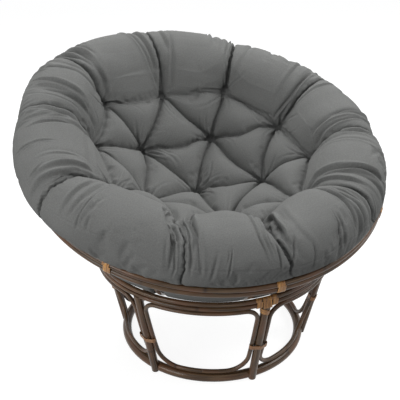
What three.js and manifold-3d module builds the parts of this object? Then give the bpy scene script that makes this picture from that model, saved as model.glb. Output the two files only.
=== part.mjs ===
// A papasan chair: a round tufted cushion in a tilted cane bowl, which rests in the ring of a cane base.
// Millimetres, +Z up, floor at z = 0. The chair faces -Y.
import * as THREE from 'three';
import { mergeVertices } from 'three/addons/utils/BufferGeometryUtils.js';
import Module from 'manifold-3d';

const wasm = await Module();
wasm.setup();

// Driving dimensions of the whole chair
const chair_forward = 47;
const chair_right = 20;
const touch_gap = 0.3;
const overrun = 4;

// Bowl: every rib lies on one sphere, whose centre is straight above the middle of the base
const bowl_radius = 556;
const bowl_tilt_deg = 17.5;
const bowl_opening_deg = 68.14;
const rim_pole_diameter = 17;
const rib_diameter = 16;
const rib_count = 12;
const hub_circle_radius = 86;

// Base: the seat ring carries the bowl at this angle from the bowl's lowest point, seen from the sphere's centre
const seat_ring_deg = 38.62;
const seat_pole_diameter = 14;
const seat_ring_height = 312;
const seat_gap = 0.6;
const foot_set_in = 73;
const foot_pole_diameter = 28;
const post_diameter = 24;
const post_count = 6;
const first_post_deg = 8.2;
const post_foot_set_out = 9;
const post_foot_height = 4;
const window_cane_diameter = 13;
const window_top_corner_radius = 42;
const window_foot_corner_radius = 56;

// Wrapped bindings of split cane, at the head of every second post, halfway up each post and round the rim
const wrap_thickness = 1.6;
const wrap_gap = 0.6;
const side_wrap_gap = 0.9;
const rim_wrap_length = 26;
const rim_wrap_turn_shares = [0.0158, 0.1492, 0.2917, 0.4306, 0.5694, 0.7361, 0.8786];
const head_wrap_every = 2;
const ring_wrap_length = 66;
const post_wrap_length = 26;
const side_wrap_length = 18;
const side_wrap_height_share = 0.46;

// Cushion, in its own frame, which is turned a little to the sitter's left about the bowl's centre
const cushion_turn_deg = 4.5;
const roll_set_in = 55;
const roll_radius = 83;
const roll_height = 68;
const roll_hang_share = 0.09;
const roll_end_share = 0.48;
const cushion_thickness = 180;
const outer_tuft_rise = 163;
const tuft_circle_share = 0.74;
const wall_fill = 30;
const valley_height = 14;
const crown_height = 33;
const crown_triangle_radius = 63;

// Tufts by turn from the front, with the share of the roll's circle at which each is sewn
const inner_tuft_turns_deg = [9.5, 82.3, 154.8, 226, 297.5];
const inner_tuft_shares = [0.458, 0.45, 0.472, 0.468, 0.458];
const outer_tuft_turns_deg = [9.5, 45.5, 84, 116, 153.9, 190, 228, 258, 297.5, 333.5];
const outer_tuft_shares = [0.74, 0.74, 0.75, 0.715, 0.775, 0.72, 0.78, 0.715, 0.74, 0.74];

// How far out of its circle the roll lies at each outer tuft, and how strong the crease over it is
const roll_set_outs = [-12, -19, -17, -8, -17, 4, 24, 5, 22, 1];
const crease_strengths = [1.35, 1, 0.6, 0.5, 0.4, 0.4, 0.5, 0.55, 0.7, 1];

// Depth of a strong crease from the roll's outer foot to its inner end
const roll_crease_depths = [6, 12, 18, 30, 46, 47, 28];

// Facet counts
const ring_steps = 60;
const pole_sides = 8;
const cane_sides = 6;
const post_sides = 12;
const rib_steps = 12;
const under_rows = 4;
const pillow_shares = [0, 0.08, 0.3, 0.5, 0.7, 0.92, 1];
const wrap_sides = 8;
const hub_steps = 24;

const up = new THREE.Vector3(0, 0, 1);
const radians = THREE.MathUtils.degToRad;

// Sizes worked out from those above
const rim_circle_radius = bowl_radius * Math.sin(radians(bowl_opening_deg));
const rim_drop = bowl_radius * Math.cos(radians(bowl_opening_deg));
const seat_circle_radius = bowl_radius * Math.sin(radians(seat_ring_deg));
const foot_circle_radius = seat_circle_radius - foot_set_in;
const rim_pole_radius = rim_pole_diameter / 2;
const seat_pole_radius = seat_pole_diameter / 2;
const foot_pole_radius = foot_pole_diameter / 2;
const post_radius = post_diameter / 2;
const window_cane_radius = window_cane_diameter / 2;
const rib_radius = rib_diameter / 2;
const rib_circle = bowl_radius - rib_radius;
const seat_reach = bowl_radius + seat_gap + seat_pole_radius;
const bowl_centre_height = seat_ring_height + Math.sqrt(seat_reach ** 2 - seat_circle_radius ** 2);
const lower_seat_pole_height = seat_ring_height - seat_pole_diameter - touch_gap;
const rim_pole_offset = rim_pole_radius + touch_gap / 2;
const rib_sag = rib_circle * (1 - Math.cos(radians(bowl_opening_deg) / (2 * rib_steps)));
const cushion_radius = rib_circle - rib_radius - rib_sag - touch_gap;
const window_low = foot_pole_diameter + touch_gap + window_cane_radius;
const window_high = lower_seat_pole_height - seat_pole_radius - touch_gap - window_cane_radius;
const roll_circle_radius = rim_circle_radius - roll_set_in;
const tuft_circle_radius = roll_circle_radius * tuft_circle_share;

// Colours: dark stained cane, paler split cane, grey cloth
const cane = { color: 0x4a3a2e, roughness: 0.45, metalness: 0 };
const split_cane = { color: 0xa8743a, roughness: 0.6, metalness: 0 };
const cloth = { color: 0x6b6b69, roughness: 0.95, metalness: 0 };

function named(name, geometry, look) {
  const mesh = new THREE.Mesh(geometry, new THREE.MeshStandardMaterial(look));
  mesh.name = name;
  return mesh;
}

// Solids for cutting and joining
function solidOf(geometry) {
  const bare = geometry.clone();
  bare.deleteAttribute('normal');
  bare.deleteAttribute('uv');
  const merged = mergeVertices(bare, 1e-3);
  return new wasm.Manifold(new wasm.Mesh({
    numProp: 3,
    vertProperties: Float32Array.from(merged.attributes.position.array),
    triVerts: Uint32Array.from(merged.index.array),
  }));
}

function geometryOf(solid) {
  const mesh = solid.getMesh();
  const geometry = new THREE.BufferGeometry();
  geometry.setAttribute('position', new THREE.BufferAttribute(Float32Array.from(mesh.vertProperties), 3));
  geometry.setIndex(Array.from(mesh.triVerts));
  return geometry;
}

// Outward direction at an angle from the front (-Y) towards the sitter's left hand (+X)
function outwardAt(angle) {
  return new THREE.Vector3(Math.sin(angle), -Math.cos(angle), 0);
}

// Round section, as points (along the frame's first and second axis), with a corner at the lead angle
function roundSection(radius, sides, lead = Math.PI / sides) {
  return Array.from({ length: sides }, (_, i) => {
    const turn = lead + (2 * Math.PI * i) / sides;
    return [radius * Math.cos(turn), radius * Math.sin(turn)];
  });
}

// Section with two half circles, whose flats lie at the radius, long along the frame's second axis
function stadiumSection(radius, half_length, sides) {
  const corner_radius = radius / Math.cos(Math.PI / sides);
  return roundSection(corner_radius, sides).map(([a, b]) => [a, b + Math.sign(b) * half_length]);
}

// Sweep a convex section through frames { at, first, second }, closed on itself or capped
function sweep(section, frames, closed) {
  const points = [];
  const faces = [];
  const n = section.length;
  for (const { at, first, second } of frames) {
    for (const [a, b] of section) {
      points.push(at.clone().addScaledVector(first, a).addScaledVector(second, b));
    }
  }
  const spans = closed ? frames.length : frames.length - 1;
  for (let i = 0; i < spans; i++) {
    const j = (i + 1) % frames.length;
    for (let k = 0; k < n; k++) {
      const l = (k + 1) % n;
      faces.push([i * n + k, i * n + l, j * n + l], [i * n + k, j * n + l, j * n + k]);
    }
  }
  if (!closed) {
    const last = (frames.length - 1) * n;
    for (let k = 1; k < n - 1; k++) {
      faces.push([0, k + 1, k], [last, last + k, last + k + 1]);
    }
  }
  return meshFrom(points, faces);
}

// Indexed geometry with its faces pointing out
function meshFrom(points, faces) {
  const volume = faces.reduce((sum, [a, b, c]) => {
    const across = new THREE.Vector3().crossVectors(points[b], points[c]);
    return sum + points[a].dot(across);
  }, 0);
  const outward = volume > 0 ? faces : faces.map(([a, b, c]) => [a, c, b]);
  const geometry = new THREE.BufferGeometry();
  geometry.setFromPoints(points);
  geometry.setIndex(outward.flat());
  return geometry;
}

// Frames round a level circle, whole or from one angle to another
function circleFrames(radius, height, steps, from = 0, to = 2 * Math.PI) {
  const whole = to - from >= 2 * Math.PI;
  return Array.from({ length: whole ? steps : steps + 1 }, (_, i) => {
    const first = outwardAt(from + ((to - from) * i) / steps);
    return { at: first.clone().multiplyScalar(radius).setZ(height), first, second: up };
  });
}

function ring(radius, height, section, steps) {
  return sweep(section, circleFrames(radius, height, steps), true);
}

// Straight pole between two points
function straight(section, from, to, outward) {
  const along = to.clone().sub(from).normalize();
  const first = outward.clone().addScaledVector(along, -outward.dot(along)).normalize();
  const second = new THREE.Vector3().crossVectors(along, first);
  return sweep(section, [from, to].map((at) => ({ at, first, second })), false);
}

// Base: foot ring, with its underside worn flat
function footRing() {
  const section = roundSection(foot_pole_radius / Math.cos(Math.PI / pole_sides), pole_sides);
  return ring(foot_circle_radius, foot_pole_radius, section, ring_steps);
}

// Base: the post's axis, from the foot ring's outer face up to the lower seat pole
function postAxis(index) {
  const outward = outwardAt(postAngle(index));
  const foot = outward.clone().multiplyScalar(foot_circle_radius + post_foot_set_out);
  const head = outward.clone().multiplyScalar(seat_circle_radius);
  return { outward, foot: foot.setZ(post_foot_height), head: head.setZ(lower_seat_pole_height) };
}

function postAngle(index) {
  return radians(first_post_deg) + (2 * Math.PI * index) / post_count;
}

function postPole(index, extra, from_share, to_share) {
  const { outward, foot, head } = postAxis(index);
  const start = foot.clone().lerp(head, from_share);
  const end = foot.clone().lerp(head, to_share);
  return straight(roundSection(post_radius + extra, post_sides), start, end, outward);
}

// Base: ring poles with a clearance, as cutting tools
function footRingCut() {
  const section = roundSection((foot_pole_radius + touch_gap) / Math.cos(Math.PI / pole_sides), pole_sides);
  return solidOf(ring(foot_circle_radius, foot_pole_radius, section, ring_steps));
}

function seatPoleCut(height) {
  const section = roundSection(seat_pole_radius + touch_gap, pole_sides);
  return solidOf(ring(seat_circle_radius, height, section, ring_steps));
}

// The bowl turns and tilts about its centre, so this sphere clears it at any angle
function bowlCut() {
  const corner_radius = (bowl_radius + seat_gap) / Math.cos(Math.PI / ring_steps) ** 2;
  const sphere = new THREE.SphereGeometry(corner_radius, ring_steps, ring_steps / 2);
  return solidOf(sphere.translate(0, 0, bowl_centre_height));
}

const bowl_cut = bowlCut();
const foot_ring_cut = footRingCut();
const lower_seat_cut = seatPoleCut(lower_seat_pole_height);

function post(index) {
  const pole = solidOf(postPole(index, 0, 0, 1));
  return geometryOf(pole.subtract(foot_ring_cut).subtract(lower_seat_cut));
}

// Base: the bent cane that edges the window between two posts
function besidePost(height) {
  const share = (height - post_foot_height) / (lower_seat_pole_height - post_foot_height);
  return THREE.MathUtils.lerp(foot_circle_radius + post_foot_set_out, seat_circle_radius, share);
}

// It runs over the foot ring below, beside the posts halfway up and under the seat ring above
function windowRadius(height) {
  const share = (height - window_low) / (window_high - window_low);
  const set_in = (besidePost(window_low) - foot_circle_radius) * (1 - share) ** 3;
  const set_out = (seat_circle_radius - besidePost(window_high)) * share ** 3;
  return besidePost(height) - set_in + set_out;
}

function windowFrame(angle, height, half_angle_share) {
  const radius = windowRadius(height);
  const beside_post = Math.asin((post_radius + touch_gap + window_cane_radius) / radius);
  const half = (Math.PI / post_count - beside_post) * half_angle_share;
  const first = outwardAt(angle + half);
  return { at: first.clone().multiplyScalar(radius).setZ(height), first };
}

function windowPath(index) {
  const middle = postAngle(index) + Math.PI / post_count;
  const corner_steps = 4;
  const side_steps = 3;
  const run_steps = 5;
  const half_width = (height) => windowRadius(height) * (Math.PI / post_count)
    - post_radius - touch_gap - window_cane_radius;
  const places = [];
  const place = (height, inset, side) => {
    places.push(windowFrame(middle, height, side * (1 - inset / half_width(height))));
  };
  for (const side of [1, -1]) {
    const steps = Array.from({ length: corner_steps + 1 }, (_, i) => (Math.PI / 2) * (i / corner_steps));
    const foot = steps.map((turn) => ({
      height: window_low + window_foot_corner_radius * (1 - Math.cos(turn)),
      inset: window_foot_corner_radius * (1 - Math.sin(turn)),
    }));
    const top = steps.map((turn) => ({
      height: window_high - window_top_corner_radius * (1 - Math.sin(turn)),
      inset: window_top_corner_radius * (1 - Math.cos(turn)),
    }));
    const side_run = Array.from({ length: side_steps - 1 }, (_, i) => ({
      height: THREE.MathUtils.lerp(foot.at(-1).height, top[0].height, (i + 1) / side_steps),
      inset: 0,
    }));
    const up_side = [...foot, ...side_run, ...top];
    const ordered = side === 1 ? up_side : up_side.reverse();
    ordered.forEach(({ height, inset }) => place(height, inset, side));
    const [height, radius] = side === 1
      ? [window_high, window_top_corner_radius] : [window_low, window_foot_corner_radius];
    const reach = 1 - radius / half_width(height);
    for (let i = 1; i < run_steps; i++) {
      places.push(windowFrame(middle, height, side * reach * (1 - (2 * i) / run_steps)));
    }
  }
  return places;
}

function windowCane(index) {
  const places = windowPath(index);
  const frames = places.map(({ at, first }, i) => {
    const before = places[(i + places.length - 1) % places.length].at;
    const after = places[(i + 1) % places.length].at;
    const along = after.clone().sub(before).normalize();
    const outward = first.clone().addScaledVector(along, -first.dot(along)).normalize();
    return { at, first: outward, second: new THREE.Vector3().crossVectors(along, outward) };
  });
  return sweep(roundSection(window_cane_radius, cane_sides), frames, true);
}

// Base: split cane wrapped round a post and the two window canes beside it
function sideWrap(index) {
  const { outward, foot, head } = postAxis(index);
  const along = head.clone().sub(foot);
  const half_share = side_wrap_length / 2 / along.length();
  const ends = [side_wrap_height_share - half_share, side_wrap_height_share + half_share];
  const side_step = post_radius + touch_gap + window_cane_radius;
  const band = (grow, lengthen) => {
    const slack = lengthen / along.length();
    const section = stadiumSection(post_radius + grow, side_step + window_cane_radius - post_radius, post_sides);
    const from = foot.clone().addScaledVector(along, ends[0] - slack);
    const to = foot.clone().addScaledVector(along, ends[1] + slack);
    return solidOf(straight(section, from, to, outward));
  };
  return geometryOf(band(side_wrap_gap + wrap_thickness, 0).subtract(band(side_wrap_gap, overrun)));
}

// Base: split cane wrapped round both seat poles and the head of a post
function headWrap(index) {
  const angle = postAngle(index);
  const half_turn = ring_wrap_length / 2 / seat_circle_radius;
  const middle_height = (seat_ring_height + lower_seat_pole_height) / 2;
  const half_length = (seat_ring_height - lower_seat_pole_height) / 2;
  const ring_band = (grow, slack) => {
    const section = stadiumSection(seat_pole_radius + grow, half_length, wrap_sides);
    const frames = circleFrames(seat_circle_radius, middle_height, 2, angle - half_turn - slack,
      angle + half_turn + slack);
    return solidOf(sweep(section, frames, false));
  };
  const { foot, head } = postAxis(index);
  const from_share = 1 - (seat_pole_radius + post_wrap_length) / head.distanceTo(foot);
  const past_share = overrun / head.distanceTo(foot);
  const post_band = solidOf(postPole(index, wrap_gap + wrap_thickness, from_share, 1));
  const post_cut = solidOf(postPole(index, wrap_gap, from_share - past_share, 1 + past_share));
  const cut_slack = overrun / seat_circle_radius;
  return geometryOf(ring_band(wrap_gap + wrap_thickness, 0).add(post_band)
    .subtract(ring_band(wrap_gap, cut_slack)).subtract(post_cut).subtract(bowl_cut));
}

function base() {
  const group = new THREE.Group();
  const seat_section = roundSection(seat_pole_radius, pole_sides);
  const towards_bowl = Math.atan2(bowl_centre_height - seat_ring_height, -seat_circle_radius);
  const upper_section = roundSection(seat_pole_radius, pole_sides, towards_bowl);
  group.add(named('base_foot_ring', footRing(), cane));
  group.add(named('base_seat_ring_upper',
    ring(seat_circle_radius, seat_ring_height, upper_section, ring_steps), cane));
  group.add(named('base_seat_ring_lower',
    ring(seat_circle_radius, lower_seat_pole_height, seat_section, ring_steps), cane));
  for (let i = 0; i < post_count; i++) {
    group.add(named(`base_post_${i + 1}`, post(i), cane));
    group.add(named(`base_window_cane_${i + 1}`, windowCane(i), cane));
    group.add(named(`base_side_wrap_${i + 1}`, sideWrap(i), split_cane));
    if (i % head_wrap_every === 0) {
      group.add(named(`base_head_wrap_${i + 1}`, headWrap(i), split_cane));
    }
  }
  return group;
}

// Bowl, in a frame with the sphere's centre at its origin and the rim's plane level
function bowlPole(circle_radius, height, pole_radius, sides, steps) {
  return ring(circle_radius, height, roundSection(pole_radius, sides), steps);
}

const upper_rim_height = rim_pole_offset - rim_drop;
const lower_rim_height = -rim_pole_offset - rim_drop;
const rim_cut = solidOf(bowlPole(rim_circle_radius, lower_rim_height, rim_pole_radius + touch_gap,
  pole_sides, ring_steps));

const rib_start = Math.asin((hub_circle_radius + rib_radius + touch_gap) / rib_circle);
const rib_end = Math.atan2(rim_circle_radius, -lower_rim_height);

// Rib: a bent cane on the sphere, from the hub ring up to the lower rim pole, which it is notched round
function rib(index) {
  const angle = (2 * Math.PI * index) / rib_count;
  const side = new THREE.Vector3().crossVectors(outwardAt(angle), up);
  const frames = Array.from({ length: rib_steps + 1 }, (_, i) => {
    const polar = THREE.MathUtils.lerp(rib_start, rib_end, i / rib_steps);
    const outward = outwardAt(angle).multiplyScalar(Math.sin(polar)).setZ(-Math.cos(polar));
    return { at: outward.clone().multiplyScalar(rib_circle), first: side, second: outward };
  });
  const whole = solidOf(sweep(roundSection(rib_radius, cane_sides), frames, false));
  return geometryOf(whole.subtract(rim_cut));
}

// Split cane wrapped round both rim poles
function rimWrap(turn_share) {
  const half_turn = rim_wrap_length / 2 / rim_circle_radius;
  const angle = 2 * Math.PI * turn_share;
  const band = (grow, slack) => {
    const section = stadiumSection(rim_pole_radius + grow, rim_pole_offset, wrap_sides);
    const frames = circleFrames(rim_circle_radius, -rim_drop, 2, angle - half_turn - slack,
      angle + half_turn + slack);
    return solidOf(sweep(section, frames, false));
  };
  const slack = overrun / rim_circle_radius;
  return geometryOf(band(wrap_gap + wrap_thickness, 0).subtract(band(wrap_gap, slack)));
}

function bowl() {
  const group = new THREE.Group();
  const hub_height = -Math.sqrt(rib_circle ** 2 - hub_circle_radius ** 2);
  const towards_centre = Math.atan2(-hub_height, -hub_circle_radius);
  group.add(named('rim_pole_upper',
    bowlPole(rim_circle_radius, upper_rim_height, rim_pole_radius, pole_sides, ring_steps), cane));
  group.add(named('rim_pole_lower',
    bowlPole(rim_circle_radius, lower_rim_height, rim_pole_radius, pole_sides, ring_steps), cane));
  group.add(named('bowl_hub_ring',
    ring(hub_circle_radius, hub_height, roundSection(rib_radius, pole_sides, towards_centre), hub_steps), cane));
  for (let i = 0; i < rib_count; i++) {
    group.add(named(`bowl_rib_${i + 1}`, rib(i), cane));
  }
  rim_wrap_turn_shares.forEach((share, i) => {
    group.add(named(`rim_wrap_${i + 1}`, rimWrap(share), split_cane));
  });
  return group;
}

// Cushion: places of the sewn tufts, in plan, the middle one first
const tufts = [new THREE.Vector2(0, 0)];
for (const [turns, shares] of [[inner_tuft_turns_deg, inner_tuft_shares], [outer_tuft_turns_deg, outer_tuft_shares]]) {
  turns.forEach((turn, i) => {
    const radius = roll_circle_radius * shares[i];
    tufts.push(new THREE.Vector2(radius * Math.sin(radians(turn)), -radius * Math.cos(radians(turn))));
  });
}
const inner_tufts = inner_tuft_turns_deg.length;
const outer_tufts = outer_tuft_turns_deg.length;

// Creases run between neighbouring tufts, so each pillow is a triangle of three tufts
function tuftTriangles() {
  const inner = (i) => 1 + (i % inner_tufts);
  const outer = (i) => 1 + inner_tufts + ((i + outer_tufts) % outer_tufts);
  return Array.from({ length: inner_tufts }, (_, i) => [
    [0, inner(i), inner(i + 1)],
    [inner(i), outer(2 * i + 1), inner(i + 1)],
    [inner(i), outer(2 * i), outer(2 * i + 1)],
    [inner(i), outer(2 * i - 1), outer(2 * i)],
  ]).flat();
}

// The dish that the tufts lie on, with the cloth lifted over it along its normal
function dishHeight(radius) {
  return cushion_thickness - cushion_radius + outer_tuft_rise * (radius / tuft_circle_radius) ** 2;
}

function overDish(plan, lift) {
  const radius = plan.length();
  const slope = (2 * outer_tuft_rise * radius) / tuft_circle_radius ** 2;
  const outward = new THREE.Vector3(plan.x, plan.y, 0).normalize();
  const normal = up.clone().addScaledVector(outward, -slope).normalize();
  return new THREE.Vector3(plan.x, plan.y, dishHeight(radius)).addScaledVector(normal, lift);
}

// Lift at a pillow's point from its weights: low at the tufts, higher along the creases, highest between them
function pillowLift(weights, inner_radius) {
  const [a, b, c] = weights;
  const along_creases = 4 * (a * b + b * c + c * a);
  const between = Math.sqrt(27 * a * b * c);
  return valley_height * along_creases + crown_height * (inner_radius / crown_triangle_radius) * between;
}

function innerRadius([a, b, c]) {
  const sides = [b.distanceTo(c), c.distanceTo(a), a.distanceTo(b)];
  const twice_area = Math.abs(b.clone().sub(a).cross(c.clone().sub(a)));
  return twice_area / (sides[0] + sides[1] + sides[2]);
}

// Point of a pillow, by how many steps it lies towards each of its tufts
function pillowPoint(parts) {
  const raw = parts.map(([, steps]) => pillow_shares[steps]);
  const total = raw.reduce((sum, share) => sum + share, 0);
  const weights = raw.map((share) => share / total);
  const plan = new THREE.Vector2();
  parts.forEach(([tuft], i) => plan.addScaledVector(tufts[tuft], weights[i]));
  const inner_radius = parts.length === 3 ? innerRadius(parts.map(([tuft]) => tufts[tuft])) : 0;
  return overDish(plan, pillowLift([...weights, 0, 0].slice(0, 3), inner_radius));
}

// Underside of a column, as points (radius, height) in the bowl's frame: on hub and ribs, then over the rim
function undersideColumn() {
  const hub_polar = Math.asin(hub_circle_radius / rib_circle);
  const rim_polar = Math.acos(-upper_rim_height / cushion_radius);
  const under = Array.from({ length: under_rows + 1 }, (_, i) => {
    const polar = THREE.MathUtils.lerp(hub_polar, rim_polar, i / under_rows);
    return [cushion_radius * Math.sin(polar), -cushion_radius * Math.cos(polar)];
  });
  const wrap_corner = (rim_pole_radius + wrap_gap + wrap_thickness) / Math.cos(Math.PI / wrap_sides);
  const rim_top = upper_rim_height + wrap_corner + 2 * touch_gap;
  return [...under, ...[-1, 1].map((side) => [rim_circle_radius + side * rim_pole_radius, rim_top])];
}

// Roll of a column, as points (radius, height) in the cushion's frame, from its outer foot over its top
function rollColumn(angle, sector, share_across) {
  const after = roll_set_outs[(sector + 1) % outer_tufts];
  const eased = THREE.MathUtils.smoothstep(share_across, 0, 1);
  const roll_at = roll_circle_radius + THREE.MathUtils.lerp(roll_set_outs[sector], after, eased);
  const roll_z = roll_height - rim_drop;
  const start_share = -roll_hang_share * (1 - Math.sin(angle)) / 2;
  const hill = 4 * share_across * (1 - share_across);
  const strength = crease_strengths[share_across < 0.5 ? sector : (sector + 1) % outer_tufts];
  return Array.from({ length: roll_crease_depths.length }, (_, i) => {
    const share = i / (roll_crease_depths.length - 1);
    const turn = 2 * Math.PI * THREE.MathUtils.lerp(start_share, roll_end_share, share);
    const crease = roll_crease_depths[i] * strength * (1 - Math.sqrt(hill));
    const rise = wall_fill * hill ** 0.6 * Math.max(0, 3 * share - 2);
    const roll = roll_radius - crease + rise;
    return [roll_at + roll * Math.cos(turn), roll_z + roll * Math.sin(turn)];
  });
}

function cushionSolid() {
  const across = new THREE.Vector3(0, 1, 0);
  const place = (angle, [radius, height]) => outwardAt(angle).multiplyScalar(radius).setZ(height);
  const turned = (point) => point.clone().applyAxisAngle(across, radians(cushion_turn_deg));
  const steps = pillow_shares.length - 1;
  const points = [place(0, [0, -cushion_radius])];
  const faces = [];
  const known = new Map();
  const dishPoint = (...parts) => {
    const used = parts.filter(([, count]) => count > 0).sort((a, b) => a[0] - b[0]);
    const key = used.join(' ');
    if (!known.has(key)) {
      known.set(key, points.length);
      points.push(turned(pillowPoint(used)));
    }
    return known.get(key);
  };
  for (const [a, b, c] of tuftTriangles()) {
    const at = (i, j) => dishPoint([a, steps - i - j], [b, i], [c, j]);
    for (let i = 0; i < steps; i++) {
      for (let j = 0; j < steps - i; j++) {
        faces.push([at(i, j), at(i, j + 1), at(i + 1, j)]);
        if (i + j < steps - 1) {
          faces.push([at(i + 1, j), at(i, j + 1), at(i + 1, j + 1)]);
        }
      }
    }
  }
  const columns = [];
  for (let sector = 0; sector < outer_tufts; sector++) {
    const [from, to] = [sector, (sector + 1) % outer_tufts].map((i) => 1 + inner_tufts + i);
    for (let step = 0; step < steps; step++) {
      const edge = dishPoint([from, steps - step], [to, step]);
      const plan = tufts[from].clone().lerp(tufts[to], pillow_shares[step]);
      const angle = Math.atan2(plan.x, -plan.y);
      const under = undersideColumn().map((spot) => place(angle, spot));
      const roll = rollColumn(angle, sector, pillow_shares[step]).map((spot) => turned(place(angle, spot)));
      columns.push([...[...under, ...roll].map((point) => points.push(point) - 1), edge]);
    }
  }
  columns.forEach((here, i) => {
    const next = columns[(i + 1) % columns.length];
    faces.push([0, here[0], next[0]]);
    for (let row = 0; row < here.length - 1; row++) {
      faces.push([here[row], here[row + 1], next[row + 1]], [here[row], next[row + 1], next[row]]);
    }
  });
  return meshFrom(points, faces);
}

const tilted = new THREE.Group();
tilted.position.set(0, 0, bowl_centre_height);
tilted.rotation.x = radians(bowl_tilt_deg);
tilted.add(bowl(), named('cushion', cushionSolid(), cloth));

const chair = new THREE.Group();
chair.position.set(chair_right, -chair_forward, 0);
chair.add(base(), tilted);

export default chair;
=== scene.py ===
import math

import bpy
import numpy as np
from mathutils import Matrix, Vector


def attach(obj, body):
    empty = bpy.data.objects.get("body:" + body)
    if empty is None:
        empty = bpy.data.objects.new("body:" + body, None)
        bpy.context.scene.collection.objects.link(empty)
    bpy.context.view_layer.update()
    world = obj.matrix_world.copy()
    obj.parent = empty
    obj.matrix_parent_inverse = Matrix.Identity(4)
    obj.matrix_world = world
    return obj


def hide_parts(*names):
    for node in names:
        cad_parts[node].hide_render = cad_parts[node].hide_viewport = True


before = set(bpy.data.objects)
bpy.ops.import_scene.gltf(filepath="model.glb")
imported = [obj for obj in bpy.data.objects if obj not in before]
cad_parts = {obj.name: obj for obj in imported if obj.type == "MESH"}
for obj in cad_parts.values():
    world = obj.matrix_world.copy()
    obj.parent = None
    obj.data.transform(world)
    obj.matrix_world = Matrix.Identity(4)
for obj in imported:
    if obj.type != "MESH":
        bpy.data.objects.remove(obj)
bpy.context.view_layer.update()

TURN = 2 * math.pi

# Driving dimensions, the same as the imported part's
BASE_AT = (0.020, -0.047, 0.0)
GAP = 0.0003
BOWL_RADIUS = 0.556
BOWL_TILT = math.radians(17.5)
RIM_RADIUS = BOWL_RADIUS * math.sin(math.radians(68.14))
RIM_DROP = BOWL_RADIUS * math.cos(math.radians(68.14))
RIM_POLE = 0.0085
RIM_OFFSET = RIM_POLE + GAP / 2
RIB = 0.008
RIB_COUNT = 12
RIB_CIRCLE = BOWL_RADIUS - RIB
HUB_RADIUS = 0.086
SEAT_RADIUS = BOWL_RADIUS * math.sin(math.radians(38.62))
SEAT_POLE = 0.007
SEAT_TOP = 0.312
SEAT_LOW = SEAT_TOP - 2 * SEAT_POLE - GAP
SEAT_GAP = 0.0006
CENTRE_HEIGHT = SEAT_TOP + math.sqrt((BOWL_RADIUS + SEAT_GAP + SEAT_POLE) ** 2 - SEAT_RADIUS ** 2)
FOOT_RADIUS = SEAT_RADIUS - 0.073
FOOT_POLE = 0.014
POST = 0.012
POST_COUNT = 6
FIRST_POST = math.radians(8.2)
POST_SET_OUT = 0.009
POST_FOOT = 0.004
NOTCH_REACH = 0.03  # how far from its end a cane may be notched round a pole
WINDOW = 0.0065
WINDOW_TOP_CORNER = 0.042
WINDOW_FOOT_CORNER = 0.056
WINDOW_LOW = 2 * FOOT_POLE + GAP + WINDOW
WINDOW_HIGH = SEAT_LOW - SEAT_POLE - GAP - WINDOW
WRAP_GAP = 0.0006
SIDE_WRAP_GAP = 0.0009
STRAND = 0.0014  # how thick a strand of split cane is
RIM_WRAP_LENGTH = 0.026
RIM_WRAP_SHARES = (0.0158, 0.1492, 0.2917, 0.4306, 0.5694, 0.7361, 0.8786)
RING_WRAP_LENGTH = 0.066
POST_WRAP_LENGTH = 0.026
SIDE_WRAP_LENGTH = 0.018
SIDE_WRAP_SHARE = 0.46
HEAD_WRAP_EVERY = 2
SLIM = 0.985  # of a pole's radius, so that its knuckles stay within it
FIRST_KNUCKLE = (0.05, 0.25)  # least and most, from a cane's end
KNUCKLE_STEPS = (0.2, 0.38)  # least and most, from one knuckle to the next
KNUCKLE_FREE = 0.02  # a cane's far end, without a knuckle
KNUCKLE_RISE = 0.014  # a share of the pole's radius, as is the next
UNEVEN = 0.008
GRAIN_STEP = 3.7  # how far apart two canes' grains are taken from the same noise
RING_TRIM = 0.0004  # at each end of a ring's pole

# Cushion
CUSHION_TURN = math.radians(4.5)
CUSHION_SPHERE = BOWL_RADIUS - 2 * RIB - GAP - (BOWL_RADIUS - RIB) * (1 - math.cos(math.radians(68.14) / 24))
UNDERSIDE = CUSHION_SPHERE - 0.0005
ROLL_CIRCLE = RIM_RADIUS - 0.055
ROLL = 0.083
ROLL_HEIGHT = 0.068
ROLL_HANG = 0.09
ROLL_END = 0.48
THICKNESS = 0.180
TUFT_RISE = 0.163
TUFT_CIRCLE = ROLL_CIRCLE * 0.74
VALLEY = 0.028  # the middle of a crease over its tufts
CROWN = 0.016  # how far the middle of a pillow bulges besides
CROWN_RADIUS = 0.063  # of the circle inside a pillow's triangle, where it bulges so far
EDGE_POWER, CROWN_POWER, WALL_POWER, CREASE_POWER = 0.8, 0.6, 0.7, 0.42  # less is flatter, with steeper sides
INNER_TURNS = (9.5, 82.3, 154.8, 226, 297.5)
INNER_SHARES = (0.458, 0.45, 0.472, 0.468, 0.458)
OUTER_TURNS = (9.5, 45.5, 84, 116, 153.9, 190, 228, 258, 297.5, 333.5)
OUTER_SHARES = (0.74, 0.74, 0.75, 0.715, 0.775, 0.72, 0.78, 0.715, 0.74, 0.74)
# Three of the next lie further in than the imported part's
ROLL_SET_OUTS = (-0.012, -0.019, -0.017, -0.008, -0.017, 0.004, 0.017, -0.006, 0.018, 0.001)
CREASE_STRENGTHS = (1.25, 1, 0.6, 0.5, 0.4, 0.4, 0.5, 0.55, 0.7, 0.75)
FOLDS = (14, 26, 18, 9, 8, 7, 18, 24, 18, 30)  # beside the crease over the roll from each outer tuft
FOLD_SPREADS = (0.2, 0.42, 0.3, 0.25, 0.25, 0.25, 0.3, 0.4, 0.34, 0.12)  # how fast they fan out
FANS = {0: 26, 4: 26, 6: 26, 7: 26, 13: 34, 14: 34, 15: 30}  # wrinkles at the most gathered tufts
SEAM_DIPS = 70
CLOTH_SETTINGS = dict(
    quality=5, mass=0.3, tension_stiffness=15, compression_stiffness=15, shear_stiffness=5,
    bending_stiffness=0.5, use_pressure=True, uniform_pressure_force=3, shrink_min=-0.03,
    vertex_group_mass="held", pin_stiffness=1)
PIN_LEVELS = 20
FRAMES = 20
MOST_SWELL = 0.010

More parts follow.
